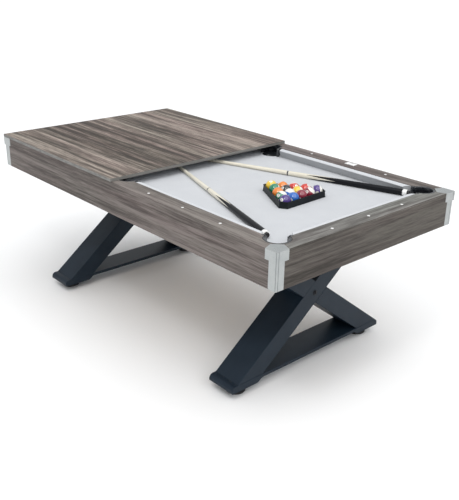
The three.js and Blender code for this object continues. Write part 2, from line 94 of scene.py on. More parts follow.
def add_camera():
    """A camera off the front right corner, looking down at the table."""
    yaw, pitch, roll = (math.radians(angle) for angle in CAMERA_ANGLES)
    forward = Vector((
        math.cos(pitch) * math.sin(yaw),
        math.cos(pitch) * math.cos(yaw),
        math.sin(pitch),
    ))
    level = forward.cross(Z_AXIS).normalized()
    above = level.cross(forward)
    right = math.cos(roll) * level + math.sin(roll) * above
    up = math.cos(roll) * above - math.sin(roll) * level
    data = bpy.data.cameras.new("camera")
    data.sensor_width = FILM_WIDTH
    data.lens = CAMERA_LENS
    camera = bpy.data.objects.new("camera", data)
    bpy.context.scene.collection.objects.link(camera)
    turn = Matrix((right, up, -forward)).transposed().to_4x4()
    camera.matrix_world = Matrix.Translation(CAMERA_PLACE) @ turn
    bpy.context.scene.camera = camera


def add_light(name, kind, energy):
    data = bpy.data.lights.new(name, kind)
    data.energy = energy
    light = bpy.data.objects.new(name, data)
    bpy.context.scene.collection.objects.link(light)
    return light


def add_sun(name, strength, elevation, azimuth, spread):
    """A soft distant light: spread is the width of its disc in the sky, all angles in degrees.

    It comes from -Y at an azimuth of 0, and from +X at 90."""
    light = add_light(name, "SUN", strength)
    light.data.angle = math.radians(spread)
    light.rotation_euler = (math.radians(90 - elevation), 0, math.radians(azimuth))


def add_highlight(place, size, power):
    """A small square light, aimed at the origin, that the balls reflect as one bright spot."""
    light = add_light("highlight", "AREA", power)
    light.data.size = size
    light.location = place
    light.rotation_mode = "QUATERNION"
    light.rotation_quaternion = (-Vector(place)).to_track_quat("-Z", "Y")


def add_sky():
    """A white room that is a little dimmer towards +X than towards -X."""
    world = bpy.data.worlds.new("studio")
    world.use_nodes = True
    tree = world.node_tree
    split = tree.nodes.new("ShaderNodeSeparateXYZ")
    tree.links.new(tree.nodes.new("ShaderNodeTexCoord").outputs["Generated"], split.inputs[0])
    strength = tree.nodes.new("ShaderNodeMath")
    strength.operation = "MULTIPLY_ADD"
    tree.links.new(split.outputs["X"], strength.inputs[0])
    strength.inputs[1].default_value = SKY_SLOPE
    strength.inputs[2].default_value = SKY_STRENGTH
    background = tree.nodes["Background"]
    background.inputs["Color"].default_value = opaque(SKY_COLOUR)
    tree.links.new(strength.outputs[0], background.inputs["Strength"])
    bpy.context.scene.world = world


def add_studio():
    """A white room, one broad soft light from high over the open end and a pale floor."""
    bpy.context.scene.view_settings.view_transform = "Standard"
    add_sky()
    add_sun("soft_overhead", strength=2.1, elevation=64, azimuth=75, spread=80)
    add_highlight((1.6, -2.6, 4.2), size=0.7, power=26)
    bm = bmesh.new()
    bmesh.ops.create_grid(bm, x_segments=1, y_segments=1, size=FLOOR_REACH)
    floor = finished_piece("studio_floor", bm)
    floor.location.z = CAD_BOX[0].z
    paint = Surface("studio_floor", color=FLOOR_COLOUR, roughness=0.9, specular=0.1)
    floor.data.materials.append(paint.material)


# ---------- materials ----------
SOCKETS = {
    "color": "Base Color",
    "roughness": "Roughness",
    "metallic": "Metallic",
    "specular": "Specular IOR Level",
    "coat": "Coat Weight",
    "coat_roughness": "Coat Roughness",
    "sheen": "Sheen Weight",
    "sheen_roughness": "Sheen Roughness",
}
NOISE_REACH = 0.2  # nearly all of a noise texture lies this close to 0.5
WAVE_LENGTH = 0.314  # of one band of the wave texture at scale 1
GRAIN_SHARES = {"broad": 0.34, "fine": 0.46, "hair": 0.2}  # of the wood's figure
PLANK_SHIFT = 0.035  # the most that one plank's figure is lighter or darker
SPOT_WHITE = (0.86, 0.84, 0.78)


def opaque(colour):
    return (*colour, 1)


def scaled(colour, share):
    return tuple(share * channel for channel in colour)


class Surface:
    """A material with one Principled shader, and short ways to add nodes to it."""

    def __init__(self, name, **values):
        self.material = bpy.data.materials.new(name)
        self.material.use_nodes = True
        self.tree = self.material.node_tree
        self.shader = self.tree.nodes["Principled BSDF"]
        for key, value in values.items():
            self.drive(key, value)

    def fill(self, socket, value):
        """Joins an output to the socket, or sets the socket to a number, vector or colour."""
        if isinstance(value, bpy.types.NodeSocket):
            self.tree.links.new(value, socket)
        elif socket.type == "RGBA":
            socket.default_value = opaque(value)
        else:
            socket.default_value = value

    def drive(self, key, value):
        self.fill(self.shader.inputs[SOCKETS[key]], value)

    def node(self, kind, settings=None, inputs=None):
        node = self.tree.nodes.new("ShaderNode" + kind)
        for key, value in (settings or {}).items():
            setattr(node, key, value)
        for key, value in (inputs or {}).items():
            self.fill(node.inputs[key], value)
        return node

    def place(self, scale=(1, 1, 1), offset=(0, 0, 0)):
        """The point's own coordinates in the piece, stretched by scale."""
        coordinates = self.node("TexCoord").outputs["Object"]
        inputs = {"Vector": coordinates, "Scale": scale, "Location": offset}
        return self.node("Mapping", inputs=inputs).outputs[0]

    def split(self):
        """The X, Y and Z of the point's own coordinates in the piece."""
        return self.node("SeparateXYZ", inputs={0: self.place()}).outputs

    def noise(self, vector, scale, detail, roughness=0.5, distortion=0):
        values = {"Vector": vector, "Scale": scale, "Detail": detail}
        values.update({"Roughness": roughness, "Distortion": distortion})
        return self.node("TexNoise", inputs=values).outputs[0]

    def math(self, operation, first, second=0):
        return self.node("Math", {"operation": operation}, {0: first, 1: second}).outputs[0]

    def spread(self, value, low, high, start, end):
        """The value from low to high, as one from start to end, and no further."""
        inputs = {"Value": value, "From Min": low, "From Max": high, "To Min": start, "To Max": end}
        return self.node("MapRange", inputs=inputs).outputs[0]

    def ramp(self, factor, stops):
        """A colour that runs through (position, colour) stops."""
        node = self.node("ValToRGB", inputs={"Fac": factor})
        elements = node.color_ramp.elements
        while len(elements) < len(stops):
            elements.new(0.5)
        for element, (position, colour) in zip(elements, stops):
            element.position = position
            element.color = opaque(colour)
        return node.outputs["Color"]

    def tones(self, pattern, dark, light, reach=NOISE_REACH):
        """A colour that runs from dark to light as the pattern crosses 0.5, give or take reach."""
        return self.ramp(pattern, [(0.5 - reach, dark), (0.5 + reach, light)])

    def mix(self, factor, first, second, kind="MIX"):
        """One colour over another. Inputs 6 and 7 and output 2 are the Mix node's colours."""
        node = self.node("Mix", {"data_type": "RGBA", "blend_type": kind})
        self.fill(node.inputs[0], factor)
        self.fill(node.inputs[6], first)
        self.fill(node.inputs[7], second)
        return node.outputs[2]

    def vary_roughness(self, pattern, low, high, reach=NOISE_REACH):
        """Roughness from low to high as the pattern crosses 0.5, give or take reach."""
        self.drive("roughness", self.spread(pattern, 0.5 - reach, 0.5 + reach, low, high))

    def bump(self, height, strength, distance):
        inputs = {"Height": height, "Strength": strength, "Distance": distance}
        self.fill(self.shader.inputs["Normal"], self.node("Bump", inputs=inputs).outputs[0])


def stretched(grain, along, across):
    """Texture scale that is small along the grain axis (0 is X, 1 is Y) and large across it."""
    return tuple(along if axis == grain else across for axis in range(3))


def wood(name, grain, tones, shade, across=20, contrast=0.075, planks=0):
    """Weathered oak laminate: broad streaks along the grain, finer ones on them, and hairlines.

    tones are its dark, middle and light colour, and shade scales the red, green and blue of each.
    across sets how many broad streaks there are, contrast how far from the middle the figure has
    its dark and light tones, and planks is the width of the printed boards, if any."""
    surface = Surface(name, specular=0.22)

    def streaks(lengthwise, crosswise, offset, detail, roughness=0.5, distortion=0):
        place = surface.place(stretched(grain, lengthwise, crosswise), offset)
        return surface.noise(place, 1, detail, roughness, distortion)

    layers = {
        "broad": streaks(0.9, across, (0, 0, 0), 3, 0.55, 0.25),
        "fine": streaks(2.6, 80, (3, 5, 7), 4, 0.7, 0.15),
        "hair": streaks(14, 380, (1, 2, 3), 2, 0.6),
    }
    broad, fine, hair = (
        surface.math("MULTIPLY", layers[key], share) for key, share in GRAIN_SHARES.items()
    )
    figure = surface.math("ADD", surface.math("ADD", broad, fine), hair)
    if planks:
        number = surface.math("FLOOR", surface.math("DIVIDE", surface.split()[1 - grain], planks))
        value = surface.node("TexWhiteNoise", {"noise_dimensions": "1D"}, {"W": number}).outputs[0]
        figure = surface.math("ADD", figure, surface.spread(value, 0, 1, -PLANK_SHIFT, PLANK_SHIFT))
    dark, middle, light = (
        [share * channel for share, channel in zip(shade, tone)] for tone in tones
    )
    colour = surface.ramp(figure, [(0.5 - contrast, dark), (0.5, middle), (0.5 + contrast, light)])
    tint = streaks(0.9, 9, (9, 4, 2), 2)
    drift = surface.tones(tint, (1, 0.955, 0.94), (0.95, 0.98, 0.93), reach=0.12)
    surface.drive("color", surface.mix(1, colour, drift, "MULTIPLY"))
    surface.vary_roughness(layers["fine"], 0.48, 0.7, reach=0.15)
    surface.bump(surface.math("ADD", layers["fine"], layers["hair"]), 0.3, 0.4 * MM)
    return surface.material


def edge_band():
    """The thin laminate strip round the dining top's edge, greyer than its face."""
    surface = Surface("wood_edge_band", roughness=0.5)
    grain = surface.noise(surface.place((30, 3, 240)), 1, 3)
    colour = surface.tones(grain, (0.12, 0.116, 0.108), (0.23, 0.225, 0.21), reach=0.15)
    surface.drive("color", colour)
    surface.bump(grain, 0.2, 0.2 * MM)
    return surface.material


def fibreboard():
    """Raw board with its short compressed chips."""
    surface = Surface("fibreboard", roughness=0.85)
    chips = surface.noise(surface.place((90, 140, 200)), 1, 4, 0.65)
    surface.drive("color", surface.tones(chips, (0.3, 0.21, 0.13), (0.52, 0.4, 0.27), reach=0.15))
    surface.bump(chips, 0.4, 0.4 * MM)
    return surface.material


def table_cloth(name, thread, tone=1):
    """Pale grey napped cloth: crossed threads, thread apart, under a soft nap.

    tone scales its brightness."""
    surface = Surface(name, roughness=0.95, sheen=0.12, sheen_roughness=0.5, specular=0.1)
    place = surface.place()
    nap = surface.noise(place, 420, 4, 0.6)
    mottle = surface.noise(place, 14, 3)
    colour = surface.tones(
        nap, scaled((0.5, 0.515, 0.535), tone), scaled((0.6, 0.61, 0.63), tone),
    )
    shade = surface.tones(mottle, (0.97, 0.97, 0.975), (1, 1, 1), reach=0.15)
    surface.drive("color", surface.mix(1, colour, shade, "MULTIPLY"))
    threads = []
    for direction in ("X", "Y"):
        settings = {"wave_type": "BANDS", "bands_direction": direction}
        inputs = {"Vector": place, "Scale": WAVE_LENGTH / thread}
        inputs.update({"Distortion": 0.6, "Detail Scale": 40})
        threads.append(surface.node("TexWave", settings, inputs).outputs[1])
    weave = surface.math("ADD", *threads)
    surface.bump(surface.math("ADD", weave, nap), 0.2, 0.2 * MM)
    return surface.material


def silver_paint(name, shade):
    """Satin silver casting paint with a fine orange peel. shade scales its brightness."""
    surface = Surface(name, metallic=0.8, specular=0.5)
    peel = surface.noise(surface.place(), 900, 3, 0.55)
    haze = surface.noise(surface.place(), 30, 3)
    dark, light = scaled((0.46, 0.485, 0.485), shade), scaled((0.52, 0.54, 0.535), shade)
    surface.drive("color", surface.tones(haze, dark, light))
    surface.vary_roughness(peel, 0.26, 0.38)
    surface.bump(peel, 0.12, 0.2 * MM)
    return surface.material


def powder_coat():
    """Slate-black satin powder coat on folded steel."""
    surface = Surface("powder_coat", specular=0.22)
    peel = surface.noise(surface.place(), 700, 4, 0.6)
    haze = surface.noise(surface.place(), 9, 3)
    surface.drive("color", surface.tones(haze, (0.008, 0.016, 0.027), (0.012, 0.022, 0.035)))
    surface.vary_roughness(peel, 0.34, 0.48)
    surface.bump(peel, 0.2, 0.3 * MM)
    return surface.material


def moulded_plastic(name, dark, light, low, high, specular=0.5):
    """Moulded plastic with a fine spark-eroded grain, whose roughness runs from low to high."""
    surface = Surface(name, specular=specular)
    grain = surface.noise(surface.place(), 1500, 3, 0.6)
    cloud = surface.noise(surface.place(), 25, 2)
    surface.drive("color", surface.tones(cloud, dark, light))
    surface.vary_roughness(grain, low, high)
    surface.bump(grain, 0.18, 0.2 * MM)
    return surface.material


def bright_metal(name, colour, low, high):
    """Bare or plated metal with faint brushing along X, whose roughness runs from low to high."""
    surface = Surface(name, metallic=1)
    brushing = surface.noise(surface.place((60, 2400, 2400)), 1, 3)
    surface.drive("color", surface.tones(brushing, colour, scaled(colour, 1.08)))
    surface.vary_roughness(brushing, low, high)
    return surface.material


def pearl():
    """White inlay with a faint cloud."""
    surface = Surface("pearl_inlay", roughness=0.25, coat=0.4, coat_roughness=0.1)
    cloud = surface.noise(surface.place(), 260, 3)
    surface.drive("color", surface.tones(cloud, (0.9, 0.9, 0.89), (0.97, 0.97, 0.96)))
    return surface.material


def ball_resin(number, colour, striped):
    """Polished resin with a white spot round both ends of the ball's own Z.

    A striped ball is white but for a band round its own X."""
    surface = Surface(f"ball_resin_{number:02d}", roughness=0.09, coat=1, coat_roughness=0.05)
    x, y, _ = surface.split()
    cloud = surface.noise(surface.place(), 60, 3)
    rich = surface.tones(cloud, scaled(colour, 0.9), colour)
    if striped:
        inside = surface.math("LESS_THAN", surface.math("ABSOLUTE", x), STRIPE_HALF_WIDTH)
        rich = surface.mix(inside, SPOT_WHITE, rich)
    squares = (surface.math("POWER", distance, 2) for distance in (x, y))
    radius = surface.math("SQRT", surface.math("ADD", *squares))
    spot = surface.math("LESS_THAN", radius, SPOT_RADIUS)
    surface.drive("color", surface.mix(spot, rich, SPOT_WHITE))
    return surface.material


def cue_finish(name, dark, light, roughness, coat=0.5, specular=0.5):
    """A lacquered finish whose grain runs along the cue's own Z."""
    surface = Surface(name, roughness=roughness, coat=coat, coat_roughness=0.08, specular=specular)
    grain = surface.noise(surface.place((420, 420, 7)), 1, 4, 0.6)
    surface.drive("color", surface.tones(grain, dark, light, reach=0.15))
    return surface.material


# ---------- mesh tools ----------
SHARP = math.radians(30)
FACING = 0.5  # a face whose normal's Z is over this looks up, and under minus this, down
MERGE_DISTANCE = 0.02 * MM
COPLANAR = math.radians(0.4)
GROOVE_WALL = 0.3 * MM  # how far a groove's sides lean
ON_PLANE = 0.001 * MM  # points this close to a cut aren't cut off
SAME_FACE = 0.2 * MM  # points this close to a face's plane belong to it
MOST_OF_SIDE = 0.45  # a corner's curve takes no more of the sides that meet in it


def finished_piece(name, bm):
    """A smooth-shaded object made from bm, which is used up."""
    mesh = bpy.data.meshes.new(name)
    bm.to_mesh(mesh)
    bm.free()
    for polygon in mesh.polygons:
        polygon.use_smooth = True
    piece = bpy.data.objects.new(name, mesh)
    bpy.context.scene.collection.objects.link(piece)
    return piece


def round_edges(piece, width, segments):
    """Rounds every sharp edge, and keeps the broad faces flat."""
    modifier = piece.modifiers.new("rounded_edges", "BEVEL")
    modifier.width = width
    modifier.segments = segments
    modifier.limit_method = "ANGLE"
    modifier.angle_limit = SHARP
    piece.modifiers.new("flat_faces", "WEIGHTED_NORMAL")


def stand_for(piece, node):
    """The piece is shown in the CAD node's place, on its body and with its finish."""
    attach(piece, BODY_OF[node])
    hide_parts(node)
    return piece


def add_detail(piece, body, material):
    """A piece that has no CAD node of its own."""
    piece.data.materials.append(material)
    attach(piece, body)


def finish_sides(piece, material):
    """Gives the faces that look neither up nor down a finish of their own."""
    piece.data.materials.append(material)
    for polygon in piece.data.polygons:
        polygon.material_index = int(abs(polygon.normal.z) < FACING)


def middle_of(node):
    low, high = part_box(node)
    return (low + high) / 2


def cad_copy(node):
    """The CAD node's mesh with its points merged and its flat faces made whole."""
    bm = bmesh.new()
    bm.from_mesh(NODES[node].data)
    bmesh.ops.remove_doubles(bm, verts=bm.verts, dist=MERGE_DISTANCE)
    bmesh.ops.dissolve_limit(bm, angle_limit=COPLANAR, verts=bm.verts, edges=bm.edges)
    return bm


def refined(node, material, width, segments, shape=None):
    """The CAD node with rounded edges, a finish and, where shape is given, details cut by it."""
    bm = cad_copy(node)
    if shape:
        shape(bm)
    piece = finished_piece(f"{node}_finished", bm)
    piece.data.materials.append(material)
    round_edges(piece, width, segments)
    return stand_for(piece, node)


def cut_groove(bm, across, at, facing, surface_at, width, depth):
    """A square groove, centred on the plane where axis across is at, in the face at surface_at
    that looks along the signed axis facing, which is (axis, sign)."""
    normal = Vector([float(axis == across) for axis in range(3)])
    edge = width / 2
    for offset in (-edge - GROOVE_WALL, -edge, edge, edge + GROOVE_WALL):
        bmesh.ops.bisect_plane(
            bm, geom=bm.verts[:] + bm.edges[:] + bm.faces[:],
            plane_co=normal * (at + offset), plane_no=normal, dist=ON_PLANE,
        )
    axis, sign = facing
    for vert in bm.verts:
        in_groove = abs(vert.co[across] - at) < edge + GROOVE_WALL / 2
        if in_groove and abs(vert.co[axis] - surface_at) < SAME_FACE:
            vert.co[axis] -= sign * depth


def merge(bm, part):
    """Adds the faces of part to bm. part is used up."""
    mesh = bpy.data.meshes.new("part")
    part.to_mesh(mesh)
    part.free()
    bm.from_mesh(mesh)
    bpy.data.meshes.remove(mesh)


def polar(centre, radius, angle):
    return centre[0] + radius * math.cos(angle), centre[1] + radius * math.sin(angle)


def ring(bm, points):
    return [bm.verts.new(point) for point in points]


def skin(bm, first, second):
    """Faces between two rings of points, either of which may be a single point."""
    count = max(len(first), len(second))
    for i in range(count):
        j = (i + 1) % count
        corners = [
            first[i % len(first)], first[j % len(first)],
            second[j % len(second)], second[i % len(second)],
        ]
        bm.faces.new(list(dict.fromkeys(corners)))


def skin_all(bm, rings):
    """Faces from each ring of points to the next."""
    for first, second in zip(rings, rings[1:]):
        skin(bm, first, second)


def lathe(bm, profile, segments, centre=(0, 0)):
    """Turns a (radius, height) profile that starts and ends on the axis about Z."""
    rings = []
    for radius, height in profile:
        turns = [2 * math.pi * i / segments for i in range(segments)] if radius else [0]
        rings.append(ring(bm, [(*polar(centre, radius, turn), height) for turn in turns]))
    skin_all(bm, rings)


def rounded(points, radius, steps, closed=False):
    """The outline with each corner replaced by a curve of steps parts from radius before it."""
    result = []
    last = len(points) - 1
    for i, point in enumerate(points):
        if not closed and i in (0, last):
            result.append(tuple(point))
            continue
        here = Vector(point)
        before = Vector(points[i - 1]) - here
        after = Vector(points[(i + 1) % len(points)]) - here
        start = here + before.normalized() * min(radius, MOST_OF_SIDE * before.length)
        end = here + after.normalized() * min(radius, MOST_OF_SIDE * after.length)
        for step in range(steps + 1):
            t = step / steps
            result.append(tuple((1 - t) ** 2 * start + 2 * t * (1 - t) * here + t ** 2 * end))
    return result


def inset_outline(outline, inset):
    """A closed counter-clockwise outline moved inwards by inset."""
    result = []
    count = len(outline)
    for i in range(count):
        before = Vector(outline[i]) - Vector(outline[i - 1])
        after = Vector(outline[(i + 1) % count]) - Vector(outline[i])
        side = Vector((-after.y, after.x)).normalized()
        inward = (Vector((-before.y, before.x)).normalized() + side).normalized()
        result.append(tuple(Vector(outline[i]) + inward * (inset / max(0.5, inward.dot(side)))))
    return result


def stack(bm, outline, layers):
    """A closed solid from one outline: each layer is (inset, height), from the bottom up."""
    rings = []
    for inset, height in layers:
        rings.append(ring(bm, [(x, y, height) for x, y in inset_outline(outline, inset)]))
    skin_all(bm, rings)
    bm.faces.new(list(reversed(rings[0])))
    bm.faces.new(rings[-1])


def round_top(height, radius, steps):
    """Layers for stack() that round the upper edge."""
    layers = []
    for step in range(steps + 1):
        angle = math.pi / 2 * step / steps
        layers.append((radius * (1 - math.cos(angle)), height - radius * (1 - math.sin(angle))))
    return layers


# ---------- finishes ----------
RAIL_TONES = ((0.085, 0.073, 0.066), (0.178, 0.16, 0.15), (0.285, 0.264, 0.248))
TOP_TONES = ((0.035, 0.027, 0.022), (0.143, 0.118, 0.103), (0.33, 0.285, 0.255))
laminate_long = wood("laminate_along_x", 0, RAIL_TONES, (0.864, 0.821, 0.831))
laminate_end = wood("laminate_along_y", 1, RAIL_TONES, (0.935, 1, 1.03))
# The aprons and the rails' outer faces take the same laminate, darkened as painted shade on the faces that look
# sideways, darkest on the ends.
laminate_painted_shade_long = wood("laminate_along_x_painted_shade", 0, RAIL_TONES, (0.754, 0.713, 0.724))
laminate_painted_shade_end = wood("laminate_along_y_painted_shade", 1, RAIL_TONES, (0.44, 0.427, 0.413))
laminate_top = wood(
    "laminate_dining_top", 0, TOP_TONES, (1.17, 1.15, 1.15), across=24, contrast=0.08, planks=0.11,
)
felt = table_cloth("dining_top_felt", 1.2 * MM)
band = edge_band()
board = fibreboard()
bed_cloth_finish = table_cloth("bed_cloth_weave", 0.9 * MM)
# The cushions' tops take a lighter copy of the bed's cloth, which is painted light. Their nose faces take a darker
# copy, which is painted shade.
cushion_cloth_painted_light = table_cloth("cushion_cloth_painted_light_weave", 0.9 * MM, tone=1.08)
cushion_cloth_painted_shade = table_cloth("cushion_cloth_painted_shade_weave", 0.9 * MM, tone=0.66)
silver = silver_paint("silver_paint", shade=0.88)
# The castings' tops take a lighter copy of the paint, which is painted light.
silver_painted_light_top = silver_paint("silver_paint_painted_light_top", shade=0.97)
leg_coat = powder_coat()
pocket_black = moulded_plastic(
    "pocket_plastic", (0.014, 0.016, 0.02), (0.024, 0.027, 0.033), 0.14, 0.24, specular=0.8,
)
rack_black = moulded_plastic(
    "rack_plastic", (0.006, 0.008, 0.01), (0.011, 0.014, 0.017), 0.36, 0.46, specular=0.16,
)
foot_black = moulded_plastic(
    "leveller_rubber", (0.01, 0.01, 0.012), (0.016, 0.016, 0.018), 0.55, 0.7,
)
zinc = bright_metal("zinc_plate", (0.62, 0.63, 0.64), 0.22, 0.36)
dark_zinc = bright_metal("black_oxide", (0.03, 0.032, 0.035), 0.3, 0.45)
plate_finish = bright_metal("brushed_plate", (0.72, 0.73, 0.74), 0.2, 0.34)
inlay = pearl()


# ---------- bed and cross beams: CAD nodes with a finish ----------
for node in ("bed", "cross_beam_right", "cross_beam_left"):
    slots = NODES[node].data.materials
    slots.clear()
    slots.append(board)

bed_cloth = refined("bed_cloth", bed_cloth_finish, 0.3 * MM, 1)


# ---------- rails, aprons and the dining top ----------
EDGE_GROOVE = {"below_top": 5 * MM, "width": 1.2 * MM, "depth": 0.9 * MM}
WOOD_EDGE = 1.2 * MM  # how wide the rounding of a wooden part's edges is
TOP_EDGE = 0.8 * MM


def rail_shape(axis, sign, face):
    """The shadow groove just under the outer top edge."""
    def shape(bm):
        height = RAIL_TOP - EDGE_GROOVE["below_top"]
        cut_groove(bm, 2, height, (axis, sign), face, EDGE_GROOVE["width"], EDGE_GROOVE["depth"])
    return shape


def outer_face(node, axis, sign):
    low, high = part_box(node)
    return (high if sign > 0 else low)[axis]


# A rail's top takes the plain laminate. Its outer face and its apron take the darker copy, which is painted shade.
for axis, places, finish, apron in (
    (1, SIDES, laminate_long, laminate_painted_shade_long),
    (0, ENDS, laminate_end, laminate_painted_shade_end),
):
    for name, sign in places:
        node = f"rail_{name}"
        groove = rail_shape(axis, sign, outer_face(node, axis, sign))
        finish_sides(refined(node, finish, WOOD_EDGE, 3, groove), apron)
        refined(f"apron_{name}", apron, WOOD_EDGE, 3)


def add_dining_top():
    """Laminate above, felt below and a strip round the edge."""
    top = refined("dining_top", laminate_top, TOP_EDGE, 2)
    finish_sides(top, band)
    top.data.materials.append(felt)
    for polygon in top.data.polygons:
        if polygon.normal.z < -FACING:
            polygon.material_index = 2


add_dining_top()


# ---------- sights and the blank plate on the rails ----------
SIGHT_RADIUS = 6.2 * MM
SIGHT_INSET = 41 * MM
SIGHT_DEPTH = 2 * MM
SIGHT_PROUD = 0.2 * MM
LONG_SIGHTS = (0.237, 0.475, 0.712)
END_SIGHTS = (-0.223, 0, 0.223)


def add_sights(name, places):
    """Round white inlays, all but flush with the rail's top."""
    bm = bmesh.new()
    top = RAIL_TOP + SIGHT_PROUD
    bottom = top - SIGHT_DEPTH
    profile = [(0, bottom), (SIGHT_RADIUS, bottom), (SIGHT_RADIUS, RAIL_TOP)]
    profile += [(SIGHT_RADIUS - 0.3 * MM, top), (0, top + 0.05 * MM)]
    for place in places:
        lathe(bm, profile, 24, place)
    add_detail(finished_piece(name, bm), "table", inlay)


plate_low, plate_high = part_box("rail_plate")
for side, sign in SIDES:
    line = sign * (HALF_WIDTH - SIGHT_INSET)
    places = [(x, line) for distance in LONG_SIGHTS for x in (-distance, distance)]
    if side == "back":
        places = [place for place in places if not plate_low.x < place[0] < plate_high.x]
    add_sights(f"sights_{side}", places)
for end, sign in ENDS:
    add_sights(f"sights_{end}", [(sign * (HALF_LENGTH - SIGHT_INSET), y) for y in END_SIGHTS])


PLATE_BASE = 0.9 * MM
TILE_MARGIN = 1.5 * MM
TILE_GAP = 3.5 * MM  # from the plate's middle to either tile
TILE_SUNK = 0.3 * MM
TILE_CORNER = 3 * MM
TILE_BEVEL = 0.4 * MM


def rounded_tile(bm, low, high, bottom, top):
    """A flat tile with rounded corners and a small bevel round its top; low and high are in XY."""
    corners = [(low[0], low[1]), (high[0], low[1]), (high[0], high[1]), (low[0], high[1])]
    outline = rounded(corners, TILE_CORNER, 4, closed=True)
    stack(bm, outline, [(0, bottom), (0, top - TILE_BEVEL), (TILE_BEVEL, top)])


def add_plate():
    """A thin blank base that carries two white tiles side by side."""
    bm = bmesh.new()
    base_top = plate_low.z + PLATE_BASE
    rounded_tile(bm, plate_low, plate_high, plate_low.z, base_top)
    base_faces = len(bm.faces)
    middle = middle_of("rail_plate").x
    for start, end in (
        (plate_low.x + TILE_MARGIN, middle - TILE_GAP),
        (middle + TILE_GAP, plate_high.x - TILE_MARGIN),
    ):
        low, high = (start, plate_low.y + TILE_MARGIN), (end, plate_high.y - TILE_MARGIN)
        rounded_tile(bm, low, high, base_top - TILE_SUNK, plate_high.z)
    bm.faces.ensure_lookup_table()
    for face in bm.faces[base_faces:]:
        face.material_index = 1
    plate = finished_piece("rail_plate_finished", bm)
    plate.data.materials.append(plate_finish)
    plate.data.materials.append(inlay)
    round_edges(plate, 0.1 * MM, 1)
    stand_for(plate, "rail_plate")


add_plate()


# ---------- corner castings ----------
# Each groove's distance from the corner on the long side and on the end, and its section.
BEAD = {"on_side": 3.4 * MM, "on_end": 10 * MM, "width": 2 * MM, "depth": 1.6 * MM}
COLUMN_INSET = 4.5 * MM  # how far the column's faces lie inside the block's
CASTING_EDGE = 1 * MM


def casting_shape(sign_x, sign_y):
    """Two fine grooves beside the corner's upright edge, on the block and on the column."""
    def shape(bm):
        for inset in (0, COLUMN_INSET):
            face_x = sign_x * (HALF_LENGTH - inset)
            face_y = sign_y * (HALF_WIDTH - inset)
            size = (BEAD["width"], BEAD["depth"])
            cut_groove(bm, 0, face_x - sign_x * BEAD["on_side"], (1, sign_y), face_y, *size)
            cut_groove(bm, 1, face_y - sign_y * BEAD["on_end"], (0, sign_x), face_x, *size)
        bm.normal_update()
        # Faces that look up get the lighter copy of the paint, which is painted light.
        for face in bm.faces:
            face.material_index = int(face.normal.z > FACING)
    return shape


for end, sign_x in ENDS:
    for side, sign_y in SIDES:
        node, shape = f"corner_casting_{side}_{end}", casting_shape(sign_x, sign_y)
        casting = refined(node, silver, CASTING_EDGE, 3, shape)
        casting.data.materials.append(silver_painted_light_top)


# ---------- cushions ----------
# How far a cushion's nose is cut back from its end, at a corner pocket and at a side one.
CORNER_FACING = 27 * MM
SIDE_FACING = 7 * MM
TABLE_MIDDLE = 0.1  # a cushion end this close to the middle is at a side pocket
CUSHION_RINGS = (0, 0.004, 0.25, 0.5, 0.75, 0.996, 1)  # shares of its length


def cushion_section(depth, base, top):
    """(distance from the rail, height) round the cloth-covered rubber, with its feather strip."""
    corners = [
        (0.4 * MM, base),
        (depth - 10 * MM, base),
        (depth - 1.5 * MM, top - 10 * MM),
        (depth, top - 7 * MM),
        (depth - 2 * MM, top - 4 * MM),
        (depth - 9 * MM, top - 1.2 * MM),
        (depth * 0.4, top),
        (2.6 * MM, top - 0.2 * MM),
        (1.9 * MM, top - 1.6 * MM),
        (0.4 * MM, top - 1.6 * MM),
    ]
    return rounded(corners, 3 * MM, 3, closed=True)


def add_cushion(node, axis, sign):
    """Sweeps the section along the rail, with both ends cut back towards the nose."""
    low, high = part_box(node)
    other = 1 - axis
    wood_side = (high if sign > 0 else low)[other]
    depth = high[other] - low[other]
    section = cushion_section(depth, low.z, high.z)
    at_sides = [abs(corner[axis]) < TABLE_MIDDLE for corner in (low, high)]
    facings = [SIDE_FACING if at_side else CORNER_FACING for at_side in at_sides]
    bm = bmesh.new()
    rings = []
    for share in CUSHION_RINGS:
        points = []
        for distance, height in section:
            start = low[axis] + facings[0] * distance / depth
            end = high[axis] - facings[1] * distance / depth
            point = [0, 0, height]
            point[axis] = start + (end - start) * share
            point[other] = wood_side - sign * distance
            points.append(point)
        rings.append(ring(bm, points))
    skin_all(bm, rings)
    bm.faces.new(rings[0])
    bm.faces.new(list(reversed(rings[-1])))
    bmesh.ops.recalc_face_normals(bm, faces=bm.faces)
    piece = finished_piece(f"{node}_finished", bm)
    # Lighter cloth on the top is painted light, and darker cloth on the nose face is painted shade.
    piece.data.materials.append(cushion_cloth_painted_light)
    finish_sides(piece, cushion_cloth_painted_shade)
    round_edges(piece, 1.2 * MM, 2)
    stand_for(piece, node)


for side, sign in SIDES:
    for end, _ in ENDS:
        add_cushion(f"cushion_{side}_{end}", 0, sign)
for end, sign in ENDS:
    add_cushion(f"cushion_{end}", 1, sign)


# ---------- pockets ----------
POCKET_OUTER = 56 * MM
POCKET_INNER = 46 * MM
CUP_OUTER = 49 * MM
EAR_REACH = 62 * MM
EAR_RADIUS = 8 * MM
EAR_STEPS = 22
ARC_STEPS = 40
# Which way each pocket's closed side faces, and how far round from there its ears are, in degrees.
POCKETS = {
    "pocket_front_right": (-45, 124),
    "pocket_back_right": (45, 124),
    "pocket_back_left": (135, 124),
    "pocket_front_left": (225, 124),
    "pocket_front_middle": (-90, 101),
    "pocket_back_middle": (90, 101),
}
OPENINGS = {opening["name"]: opening["box_m"] for opening in RECORD["physics"]["openings"]}


def pocket_centre(node):
    low, high = OPENINGS[f"{node}_cup"]
    return (low[0] + high[0]) / 2, (low[1] + high[1]) / 2


